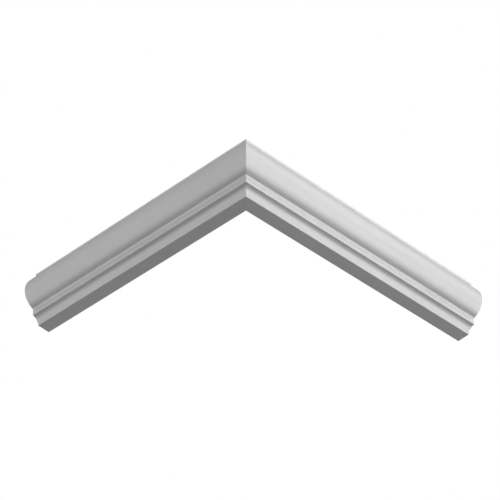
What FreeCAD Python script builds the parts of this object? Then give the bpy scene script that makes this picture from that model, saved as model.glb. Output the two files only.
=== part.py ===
import FreeCAD, Part
import math
import os

# Panel moulding carried round an outside wall corner: two lengths of one section, mitred and glued.
# Millimetres. The wall's corner is the Z axis, and the back edge of the underside is at Z = 0.
# The right length runs along +X and the left length along +Y, each with its back on the wall.

# Lengths along the wall, from the corner to the square-cut free end
right_wall_length = 283.0
left_wall_length = 262.0

# Section: heights above the back edge of the underside, projections from the wall
section_height = 57.0
torus_projection = 32.0
fillet_projection = 20.3
underside_depth = 13.0
underside_draft_deg = 6.0
cove_head_height = 9.4
cove_hollow = 1.7
lower_fillet_height = 6.7
upper_fillet_height = 6.1

# Rounding of the casting's corners: outward edges, and the quirks where the torus meets its fillets
arris_radius = 0.5
quirk_radius = 2.4

# How far the mitre cut runs past the section on every side
cut_overrun = 20.0

# Points of the section as (projection, height)
back_foot = (0.0, 0.0)
back_top = (0.0, section_height)
front_top = (fillet_projection, section_height)
torus_head = (fillet_projection, section_height - upper_fillet_height)
torus_foot = (fillet_projection, cove_head_height + lower_fillet_height)
torus_nose = (torus_projection, (torus_head[1] + torus_foot[1]) / 2)
cove_head = (fillet_projection, cove_head_height)
underside_rise = underside_depth * math.tan(math.radians(underside_draft_deg))
underside_front = (underside_depth, underside_rise)


def cove_middle():
    """Deepest point of the cove: its hollow is measured square to the line between its two edges."""
    run = cove_head[0] - underside_front[0]
    rise = cove_head[1] - underside_front[1]
    chord = math.hypot(run, rise)
    projection = (cove_head[0] + underside_front[0]) / 2 - cove_hollow * rise / chord
    height = (cove_head[1] + underside_front[1]) / 2 + cove_hollow * run / chord
    return (projection, height)


def place(point):
    """A section point where the uncut bar starts, far enough past the corner to be mitred."""
    return FreeCAD.Vector(-torus_projection, -point[0], point[1])


def straight(start, end):
    return Part.LineSegment(place(start), place(end)).toShape()


def rounded(start, middle, end):
    return Part.Arc(place(start), place(middle), place(end)).toShape()


def section_face():
    """The moulding's section: back, underside, cove, lower fillet, torus, upper fillet and top."""
    outline = [
        straight(back_foot, underside_front),
        rounded(underside_front, cove_middle(), cove_head),
        straight(cove_head, torus_foot),
        rounded(torus_foot, torus_nose, torus_head),
        straight(torus_head, front_top),
        straight(front_top, back_top),
        straight(back_top, back_foot),
    ]
    return Part.Face(Part.Wire(outline))


def long_edges(bar, points):
    """The bar's long edges that run through these points of the section."""
    found = []
    for edge in bar.Edges:
        for point in points:
            start = place(point)
            ends = [vertex.Point - start for vertex in edge.Vertexes]
            if all(math.hypot(end.y, end.z) < 1e-6 for end in ends):
                found.append(edge)
    return found


def cast_bar(wall_length):
    """A straight bar of the section with its corners rounded, running past the wall's corner."""
    bar = section_face().extrude(FreeCAD.Vector(torus_projection + wall_length, 0, 0))
    bar = bar.makeFillet(quirk_radius, long_edges(bar, [torus_foot, torus_head]))
    return bar.makeFillet(arris_radius, long_edges(bar, [underside_front, cove_head, front_top]))


def mitre_waste():
    """What the mitre saw takes away: everything beyond the upright plane X = Y at the corner."""
    reach = torus_projection + cut_overrun
    corners = [
        FreeCAD.Vector(cut_overrun, cut_overrun, -cut_overrun),
        FreeCAD.Vector(-reach, -reach, -cut_overrun),
        FreeCAD.Vector(-reach, cut_overrun, -cut_overrun),
    ]
    triangle = Part.Face(Part.makePolygon(corners + corners[:1]))
    return triangle.extrude(FreeCAD.Vector(0, 0, section_height + 2 * cut_overrun))


def mitred_length(wall_length):
    """A length along +X: mitred at the corner, square at the free end."""
    return cast_bar(wall_length).cut(mitre_waste()).Solids[0]


right_length = mitred_length(right_wall_length)

# The left length is cut to the opposite hand, mirrored in the mitre plane
left_length = mitred_length(left_wall_length).mirror(FreeCAD.Vector(0, 0, 0), FreeCAD.Vector(1, -1, 0))

os.makedirs("parts", exist_ok=True)
for name, shape in (("right_length", right_length), ("left_length", left_length)):
    shape.exportStep(f"parts/{name}.step")
    print(name, "volume", round(shape.Volume / 1000, 2), "cm3, valid", shape.isValid())
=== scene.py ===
import math

import bpy
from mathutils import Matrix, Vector


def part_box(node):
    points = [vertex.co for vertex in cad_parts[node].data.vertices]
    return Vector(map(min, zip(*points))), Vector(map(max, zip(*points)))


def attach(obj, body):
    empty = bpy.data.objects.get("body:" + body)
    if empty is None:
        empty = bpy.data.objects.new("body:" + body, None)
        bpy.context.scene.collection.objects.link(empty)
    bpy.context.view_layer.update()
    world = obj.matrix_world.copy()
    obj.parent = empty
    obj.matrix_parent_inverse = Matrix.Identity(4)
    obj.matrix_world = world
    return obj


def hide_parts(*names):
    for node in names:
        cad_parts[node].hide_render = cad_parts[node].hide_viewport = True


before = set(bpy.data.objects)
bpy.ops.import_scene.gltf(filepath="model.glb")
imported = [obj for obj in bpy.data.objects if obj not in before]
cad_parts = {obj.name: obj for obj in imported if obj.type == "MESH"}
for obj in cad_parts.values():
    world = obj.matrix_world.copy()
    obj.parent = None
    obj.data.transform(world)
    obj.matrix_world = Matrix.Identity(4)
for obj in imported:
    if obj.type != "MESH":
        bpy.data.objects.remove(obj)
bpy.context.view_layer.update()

# The two lengths of panel moulding, cast in one mould from white rigid foam and primed satin white.
# Each is sawn square at its free end and at 45 degrees at the corner, and the two are glued there.
# Their section, from the bottom: drafted underside, cove, lower fillet, torus, upper fillet, top.
right_low, right_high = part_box("right_length")
left_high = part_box("left_length")[1]
section_height = right_high.z
torus_projection = -right_low.y
fillet_projection = 0.0203
underside_depth = 0.013
underside_draft = math.radians(6)
cove_head_height = 0.0094
cove_hollow = 0.0017
lower_fillet_height = 0.0067
upper_fillet_height = 0.0061
quirk_radius = 0.0024
arris_setback = 0.0005
glue_line_bevel = 0.00012
sawn_edge_bevel = 0.0002
cove_steps = 20
quirk_steps = 8
torus_steps = 56
arris_steps = 4
sawn_edge_steps = 2
station_spacing = 0.012
shortest_edge = 0.00003
most_corners_of_a_side = 8
crease_angle = math.radians(25)
tiny = 1e-6
up = Vector((0, 0, 1))

back_foot = (0.0, 0.0)
back_top = (0.0, section_height)
front_top = (fillet_projection, section_height)
torus_head = (fillet_projection, section_height - upper_fillet_height)
torus_foot = (fillet_projection, cove_head_height + lower_fillet_height)
cove_head = (fillet_projection, cove_head_height)
underside_front = (underside_depth, underside_depth * math.tan(underside_draft))


def arc_centre(start, end, bulge):
    """Centre of the arc that stands off its chord by bulge.

    It bulges to the right of the way it runs, or to the left if bulge is negative.
    """
    run = end[0] - start[0]
    rise = end[1] - start[1]
    chord = math.hypot(run, rise)
    side = (chord ** 2 / 4 - bulge ** 2) / (2 * bulge)
    return ((start[0] + end[0]) / 2 - side * rise / chord, (start[1] + end[1]) / 2 + side * run / chord)


cove_centre = arc_centre(underside_front, cove_head, -cove_hollow)
torus_centre = arc_centre(torus_foot, torus_head, torus_projection - fillet_projection)
torus_radius = torus_projection - torus_centre[0]

# Quirks: small hollows that touch the fillet's face and the torus, below it and above it
quirk_projection = fillet_projection + quirk_radius
between_centres = torus_radius + quirk_radius
quirk_rise = math.sqrt(between_centres ** 2 - (quirk_projection - torus_centre[0]) ** 2)


def quirk(rise):
    """A quirk's centre and its ends on the fillet and the torus; rise is from the torus's centre."""
    centre = (quirk_projection, torus_centre[1] + rise)
    on_fillet = (fillet_projection, centre[1])
    share = torus_radius / between_centres
    on_torus = tuple(middle + (end - middle) * share for middle, end in zip(torus_centre, centre))
    return centre, on_fillet, on_torus


class Pen:
    """Draws a section point by point in edit mode, in the upright plane where a length starts."""

    def __init__(self, start, out):
        self.start = start
        self.out = out
        self.point = back_foot
        bpy.ops.object.select_all(action="DESELECT")
        bpy.ops.mesh.primitive_plane_add(size=section_height, location=start)
        bpy.ops.object.mode_set(mode="EDIT")
        bpy.context.tool_settings.mesh_select_mode = (True, False, False)
        bpy.ops.mesh.select_all(action="SELECT")
        bpy.ops.mesh.merge(type="CENTER")

    def place(self, point):
        return self.start + self.out * point[0] + up * point[1]

    def line_to(self, point):
        move = self.place(point) - self.place(self.point)
        bpy.ops.mesh.extrude_region_move(TRANSFORM_OT_translate={"value": move})
        self.point = point

    def arc_to(self, point, centre, steps):
        """An arc about this centre, the short way round."""
        start_angle = math.atan2(self.point[1] - centre[1], self.point[0] - centre[0])
        end_angle = math.atan2(point[1] - centre[1], point[0] - centre[0])
        turn = (end_angle - start_angle + math.pi) % math.tau - math.pi
        bpy.ops.mesh.spin(steps=steps, angle=turn, center=self.place(centre), axis=up.cross(self.out))
        self.point = point


def select_where(mesh, kind, test):
    """Selects only the vertices, edges or faces that pass the test."""
    bpy.ops.mesh.select_all(action="DESELECT")
    bpy.ops.object.mode_set(mode="OBJECT")
    for item in getattr(mesh, kind):
        item.select = test(item)
    bpy.context.tool_settings.mesh_select_mode = (kind == "vertices", kind == "edges", kind == "polygons")
    bpy.ops.object.mode_set(mode="EDIT")


def at(mesh, index):
    return mesh.vertices[index].co


def moulding_length(name, along, out, wall_length):
    """One length: section drawn and filled, arrises eased, swept along the wall, mitred and sawn."""
    pen = Pen(along * -torus_projection, out)
    length = bpy.context.object
    length.name = name
    mesh = length.data
    low_centre, low_on_fillet, low_on_torus = quirk(-quirk_rise)
    high_centre, high_on_fillet, high_on_torus = quirk(quirk_rise)
    pen.line_to(underside_front)
    pen.arc_to(cove_head, cove_centre, cove_steps)
    pen.line_to(low_on_fillet)
    pen.arc_to(low_on_torus, low_centre, quirk_steps)
    pen.arc_to(high_on_torus, torus_centre, torus_steps)
    pen.arc_to(high_on_fillet, high_centre, quirk_steps)
    pen.line_to(front_top)
    pen.line_to(back_top)
    pen.line_to(back_foot)
    bpy.ops.mesh.select_all(action="SELECT")
    bpy.ops.mesh.remove_doubles(threshold=tiny)
    bpy.ops.mesh.edge_face_add()
    for point in (underside_front, cove_head, front_top):
        arris = pen.place(point) - pen.start
        select_where(mesh, "vertices", lambda vertex: (vertex.co - arris).length < tiny)
        bpy.ops.mesh.bevel(offset=arris_setback, segments=arris_steps, affect="VERTICES")
    bpy.ops.mesh.select_all(action="SELECT")
    reach = torus_projection + wall_length
    stations = round(reach / station_spacing)
    for station in range(stations):
        bpy.ops.mesh.extrude_region_move(TRANSFORM_OT_translate={"value": along * (reach / stations)})
    bpy.ops.object.mode_set(mode="OBJECT")
    bpy.ops.object.transform_apply(location=True)
    bpy.ops.object.mode_set(mode="EDIT")
    bpy.ops.mesh.select_all(action="SELECT")
    mitre = (along + out).normalized()
    bpy.ops.mesh.bisect(plane_co=(0, 0, 0), plane_no=mitre, use_fill=True, clear_inner=True, threshold=tiny)
    select_where(mesh, "edges", lambda edge: all(abs(at(mesh, v).dot(mitre)) < tiny for v in edge.vertices))
    bpy.ops.mesh.bevel(offset=glue_line_bevel, segments=1, affect="EDGES")
    sawn_from = wall_length - tiny
    select_where(mesh, "edges", lambda edge: all(at(mesh, v).dot(along) > sawn_from for v in edge.vertices))
    bpy.ops.mesh.bevel(offset=sawn_edge_bevel, segments=sawn_edge_steps, affect="EDGES")
    bpy.ops.mesh.select_all(action="SELECT")
    bpy.ops.mesh.remove_doubles(threshold=shortest_edge)
    bpy.ops.mesh.normals_make_consistent(inside=False)
    select_where(mesh, "polygons", lambda face: len(face.vertices) > most_corners_of_a_side)
    bpy.ops.mesh.quads_convert_to_tris(quad_method="BEAUTY", ngon_method="BEAUTY")
    bpy.ops.object.mode_set(mode="OBJECT")
    bpy.ops.object.shade_smooth_by_angle(angle=crease_angle)
    length.modifiers.new("flat_faces_stay_flat", "WEIGHTED_NORMAL").keep_sharp = True
    bpy.ops.object.modifier_apply(modifier="flat_faces_stay_flat")
    return length


primer_shade = (0.74, 0.74, 0.74, 1)
primer_light = (0.78, 0.78, 0.78, 1)
shade_up_to = 0.3
light_from = 0.7
cloud_scale = 22
cloud_detail = 4
sheen_scale = 90
sheen_detail = 3
least_roughness = 0.33
most_roughness = 0.41
sheen_level = 0.5
sheen_fades_from = 0.45
sheen_gone_at = 0.75
peel_scale = 700
peel_detail = 2
peel_strength = 0.2
peel_depth = 0.00004


def satin_primer():
    """Sprayed white primer: a faintly cloudy tone, the fine peel of a spray gun, and a sheen.

    The sheen goes out where the surface turns away from the eye.
    """
    primer = bpy.data.materials.new("satin_white_primer")
    primer.use_nodes = True
    nodes = primer.node_tree.nodes
    links = primer.node_tree.links
    coat = nodes["Principled BSDF"]
    place = nodes.new("ShaderNodeTexCoord")
    clouds = nodes.new("ShaderNodeTexNoise")
    clouds.inputs["Scale"].default_value = cloud_scale
    clouds.inputs["Detail"].default_value = cloud_detail
    tone = nodes.new("ShaderNodeValToRGB")
    tone.color_ramp.elements[0].position = shade_up_to
    tone.color_ramp.elements[0].color = primer_shade
    tone.color_ramp.elements[1].position = light_from
    tone.color_ramp.elements[1].color = primer_light
    sheen = nodes.new("ShaderNodeTexNoise")
    sheen.inputs["Scale"].default_value = sheen_scale
    sheen.inputs["Detail"].default_value = sheen_detail
    gloss = nodes.new("ShaderNodeMapRange")
    gloss.inputs["To Min"].default_value = least_roughness
    gloss.inputs["To Max"].default_value = most_roughness
    glancing = nodes.new("ShaderNodeLayerWeight")
    fade = nodes.new("ShaderNodeMapRange")
    fade.inputs["From Min"].default_value = sheen_fades_from
    fade.inputs["From Max"].default_value = sheen_gone_at
    fade.inputs["To Min"].default_value = sheen_level
    fade.inputs["To Max"].default_value = 0
    peel = nodes.new("ShaderNodeTexNoise")
    peel.inputs["Scale"].default_value = peel_scale
    peel.inputs["Detail"].default_value = peel_detail
    relief = nodes.new("ShaderNodeBump")
    relief.inputs["Strength"].default_value = peel_strength
    relief.inputs["Distance"].default_value = peel_depth
    for texture in (clouds, sheen, peel):
        links.new(place.outputs["Object"], texture.inputs["Vector"])
    links.new(clouds.outputs["Fac"], tone.inputs["Fac"])
    links.new(tone.outputs["Color"], coat.inputs["Base Color"])
    links.new(sheen.outputs["Fac"], gloss.inputs["Value"])
    links.new(gloss.outputs["Result"], coat.inputs["Roughness"])
    links.new(glancing.outputs["Facing"], fade.inputs["Value"])
    links.new(fade.outputs["Result"], coat.inputs["Specular IOR Level"])
    links.new(peel.outputs["Fac"], relief.inputs["Height"])
    links.new(relief.outputs["Normal"], coat.inputs["Normal"])
    return primer


# Painted shade in the foam's cell pits: a darker colour where the cell hollows dip in.
painted_pit_shade = (0.62, 0.6, 0.55, 1)
foam_colour = (0.75, 0.735, 0.69, 1)
foam_roughness = 0.85
cell_scale = 1500
pit_up_to = 0.1
cell_wall_from = 0.45
cell_strength = 0.5
cell_depth = 0.0002
mark_detail = 4
mark_shading = 0.3
mark_strength = 0.4
mark_depth = 0.0002


def bare_foam(name, streaks):
    """Unprimed foam where it was cut or rubbed down: fine open cells with painted shade in their pits, and
    streaks along the tool's way.
    """
    foam = bpy.data.materials.new(name)
    foam.use_nodes = True
    nodes = foam.node_tree.nodes
    links = foam.node_tree.links
    surface = nodes["Principled BSDF"]
    surface.inputs["Roughness"].default_value = foam_roughness
    place = nodes.new("ShaderNodeTexCoord")
    cells = nodes.new("ShaderNodeTexVoronoi")
    cells.inputs["Scale"].default_value = cell_scale
    # Painted shade: the cell pits are coloured darker, where their hollows would be in shade.
    pit_shade_ramp = nodes.new("ShaderNodeValToRGB")
    pit_shade_ramp.color_ramp.elements[0].position = pit_up_to
    pit_shade_ramp.color_ramp.elements[0].color = painted_pit_shade
    pit_shade_ramp.color_ramp.elements[1].position = cell_wall_from
    pit_shade_ramp.color_ramp.elements[1].color = foam_colour
    stretch = nodes.new("ShaderNodeMapping")
    stretch.inputs["Scale"].default_value = streaks
    marks = nodes.new("ShaderNodeTexNoise")
    marks.inputs["Scale"].default_value = 1
    marks.inputs["Detail"].default_value = mark_detail
    shade = nodes.new("ShaderNodeMix")
    shade.data_type = "RGBA"
    shade.blend_type = "OVERLAY"
    shade.inputs["Factor"].default_value = mark_shading
    cell_relief = nodes.new("ShaderNodeBump")
    cell_relief.inputs["Strength"].default_value = cell_strength
    cell_relief.inputs["Distance"].default_value = cell_depth
    mark_relief = nodes.new("ShaderNodeBump")
    mark_relief.inputs["Strength"].default_value = mark_strength
    mark_relief.inputs["Distance"].default_value = mark_depth
    links.new(place.outputs["Object"], cells.inputs["Vector"])
    links.new(place.outputs["Object"], stretch.inputs["Vector"])
    links.new(stretch.outputs["Vector"], marks.inputs["Vector"])
    links.new(cells.outputs["Distance"], pit_shade_ramp.inputs["Fac"])
    links.new(pit_shade_ramp.outputs["Color"], shade.inputs["A"])
    links.new(marks.outputs["Fac"], shade.inputs["B"])
    links.new(shade.outputs["Result"], surface.inputs["Base Color"])
    links.new(marks.outputs["Fac"], mark_relief.inputs["Height"])
    links.new(cells.outputs["Distance"], cell_relief.inputs["Height"])
    links.new(mark_relief.outputs["Normal"], cell_relief.inputs["Normal"])
    links.new(cell_relief.outputs["Normal"], surface.inputs["Normal"])
    return foam


faces_the_same_way = 0.999


def finish_length(length, along, out, primer, back, sawn):
    """Primer all over, then bare foam on the back, the free end and the mitred end."""
    mesh = length.data
    bpy.context.view_layer.objects.active = length
    for material in (primer, back, sawn):
        mesh.materials.append(material)
    mitre = (along + out).normalized()
    bpy.ops.object.mode_set(mode="EDIT")
    for material, facing in ((back, -out), (sawn, along), (sawn, -mitre)):
        select_where(mesh, "polygons", lambda face: face.normal.dot(facing) > faces_the_same_way)
        length.active_material_index = mesh.materials.find(material.name)
        bpy.ops.object.material_slot_assign()
    bpy.ops.object.mode_set(mode="OBJECT")


across_marks = 900
along_marks = 30
primer = satin_primer()
sawn = bare_foam("sawn_foam", (across_marks, across_marks, along_marks))
right_back = bare_foam("right_sanded_back", (along_marks, across_marks, across_marks))
left_back = bare_foam("left_sanded_back", (across_marks, along_marks, across_marks))

to_right = Vector((1, 0, 0))
to_left = Vector((0, 1, 0))
right_piece = moulding_length("right_moulding", to_right, -to_left, right_high.x)
finish_length(right_piece, to_right, -to_left, primer, right_back, sawn)
left_piece = moulding_length("left_moulding", to_left, -to_right, left_high.y)
finish_length(left_piece, to_left, -to_right, primer, left_back, sawn)

for piece, node in ((right_piece, "right_length"), (left_piece, "left_length")):
    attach(piece, "root")
    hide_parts(node)

# The floor: a pale sheet that the moulding stands on, lit by its own glow, which carries painted shade:
# dimmer close to the moulding and white far away, with a painted contact shadow at the moulding's foot.
# It is one-sided, because the photograph looks up from below: from there the sheet does not show.
floor_size = 8.0
# Painted shade: the glow is floor_glow beside the moulding and rises to far_glow at white_from metres; a
# painted contact shadow dims it within a tenth of a metre.
floor_glow = 0.55
far_glow = 0.73
white_from = 2.0
painted_shadow_reach = 0.1
floor_grey = 0.35
bpy.ops.object.select_all(action="DESELECT")
bpy.ops.mesh.primitive_plane_add(size=floor_size)
floor = bpy.context.object
floor.name = "floor"
floor.visible_diffuse = False
floor.visible_glossy = False
floor.visible_shadow = False
sheet = bpy.data.materials.new("pale_floor")
sheet.use_nodes = True
nodes = sheet.node_tree.nodes
links = sheet.node_tree.links
nodes.clear()
side = nodes.new("ShaderNodeNewGeometry")
place = nodes.new("ShaderNodeTexCoord")
distance = nodes.new("ShaderNodeVectorMath")
distance.operation = "LENGTH"
# Painted shade: the glow grows with distance from the moulding, so the floor is darker close to it.
painted_shade_falloff = nodes.new("ShaderNodeMapRange")
painted_shade_falloff.inputs["From Max"].default_value = white_from
painted_shade_falloff.inputs["To Min"].default_value = floor_glow
painted_shade_falloff.inputs["To Max"].default_value = far_glow
# Painted contact shadow: ambient occlusion darkens the glow where the moulding stands near.
painted_contact_shadow = nodes.new("ShaderNodeAmbientOcclusion")
painted_contact_shadow.inputs["Distance"].default_value = painted_shadow_reach
glow = nodes.new("ShaderNodeEmission")
paint = nodes.new("ShaderNodeBsdfDiffuse")
paint.inputs["Color"].default_value = (floor_grey, floor_grey, floor_grey, 1)
pale = nodes.new("ShaderNodeAddShader")
clear = nodes.new("ShaderNodeBsdfTransparent")
choose = nodes.new("ShaderNodeMixShader")
output = nodes.new("ShaderNodeOutputMaterial")
links.new(place.outputs["Object"], distance.inputs[0])
links.new(distance.outputs["Value"], painted_shade_falloff.inputs["Value"])
links.new(painted_shade_falloff.outputs["Result"], glow.inputs["Strength"])
links.new(painted_contact_shadow.outputs["Color"], glow.inputs["Color"])
links.new(paint.outputs["BSDF"], pale.inputs[0])
links.new(glow.outputs["Emission"], pale.inputs[1])
links.new(side.outputs["Backfacing"], choose.inputs["Fac"])
links.new(pale.outputs["Shader"], choose.inputs[1])
links.new(clear.outputs["BSDF"], choose.inputs[2])
links.new(choose.outputs["Shader"], output.inputs["Surface"])
floor.data.materials.append(sheet)

# The studio: white to the eye and in reflections, a little light from every side, and seven soft lamps.
# Three lamps stand at each side of the corner, one over another. One behind lights the backs and the floor.
ambient_level = 0.165
studio = bpy.data.worlds.new("studio")
bpy.context.scene.world = studio
studio.use_nodes = True
nodes = studio.node_tree.nodes
links = studio.node_tree.links
white = nodes["Background"]
white.inputs["Color"].default_value = (1, 1, 1, 1)
path = nodes.new("ShaderNodeLightPath")
mirrored = nodes.new("ShaderNodeMath")
mirrored.operation = "MAXIMUM"
seen = nodes.new("ShaderNodeMath")
seen.operation = "MAXIMUM"
level = nodes.new("ShaderNodeMath")
level.operation = "MAXIMUM"
level.inputs[1].default_value = ambient_level
links.new(path.outputs["Is Glossy Ray"], mirrored.inputs[0])
links.new(path.outputs["Is Transmission Ray"], mirrored.inputs[1])
links.new(path.outputs["Is Camera Ray"], seen.inputs[0])
links.new(mirrored.outputs["Value"], seen.inputs[1])
links.new(seen.outputs["Value"], level.inputs[0])
links.new(level.outputs["Value"], white.inputs["Strength"])


def soft_lamp(name, azimuth, elevation, strength, softness):
    """A distant lamp, placed in degrees as the moulding sees it: azimuth 0 is in front, 90 at the right."""
    data = bpy.data.lights.new(name, "SUN")
    data.energy = strength
    data.angle = math.radians(softness)
    lamp = bpy.data.objects.new(name, data)
    bpy.context.scene.collection.objects.link(lamp)
    turn = math.radians(azimuth)
    lift = math.radians(elevation)
    towards = Vector((math.sin(turn) * math.cos(lift), -math.cos(turn) * math.cos(lift), math.sin(lift)))
    lamp.rotation_euler = towards.to_track_quat("Z", "Y").to_euler()
    return lamp


soft_lamp("high_right_lamp", azimuth=41, elevation=35, strength=0.88, softness=36)
soft_lamp("right_lamp", azimuth=33, elevation=5, strength=1.38, softness=34)
soft_lamp("high_left_lamp", azimuth=-131, elevation=30, strength=0.23, softness=36)
soft_lamp("left_lamp", azimuth=-123, elevation=5, strength=0.68, softness=34)
# The low lamps give only the sheen on the torus and the cove, and leave the underside in its shade.
low_right_lamp = soft_lamp("low_right_lamp", azimuth=38, elevation=-25, strength=2.68, softness=38)
low_right_lamp.visible_diffuse = False
low_left_lamp = soft_lamp("low_left_lamp", azimuth=-129, elevation=-27, strength=1.33, softness=38)
low_left_lamp.visible_diffuse = False
# The back lamp stands where its mirror image would draw a white line along the top edge, so it has none.
back_lamp = soft_lamp("back_lamp", azimuth=135, elevation=40, strength=1.8, softness=60)
back_lamp.visible_glossy = False

# The camera: the photograph looks up at the corner from below, along the line that halves its angle.
# The lens is long, and the foot of the wall's corner falls on corner_pixel, counted from the top left.
photo_width = 500
film_width = 36
focal_pixels = 2044.4
corner_distance = 1.7683
camera_elevation = math.radians(-36.88)
camera_azimuth = math.radians(-45)
corner_pixel = (245.94, 210.66)
eye = bpy.data.cameras.new("photo_camera")
eye.sensor_width = film_width
eye.lens = film_width * focal_pixels / photo_width
camera = bpy.data.objects.new("photo_camera", eye)
bpy.context.scene.collection.objects.link(camera)
bpy.context.scene.camera = camera
back = Vector((
    math.sin(camera_azimuth) * math.cos(camera_elevation),
    -math.cos(camera_azimuth) * math.cos(camera_elevation),
    math.sin(camera_elevation),
))
camera.rotation_euler = back.to_track_quat("Z", "Y").to_euler()
turned = back.to_track_quat("Z", "Y").to_matrix()
pixel_size = corner_distance / focal_pixels
right_of_centre = (corner_pixel[0] - photo_width / 2) * pixel_size
above_centre = (photo_width / 2 - corner_pixel[1]) * pixel_size
camera.location = turned @ Vector((-right_of_centre, -above_centre, corner_distance))

bpy.context.scene.view_settings.view_transform = "Standard"
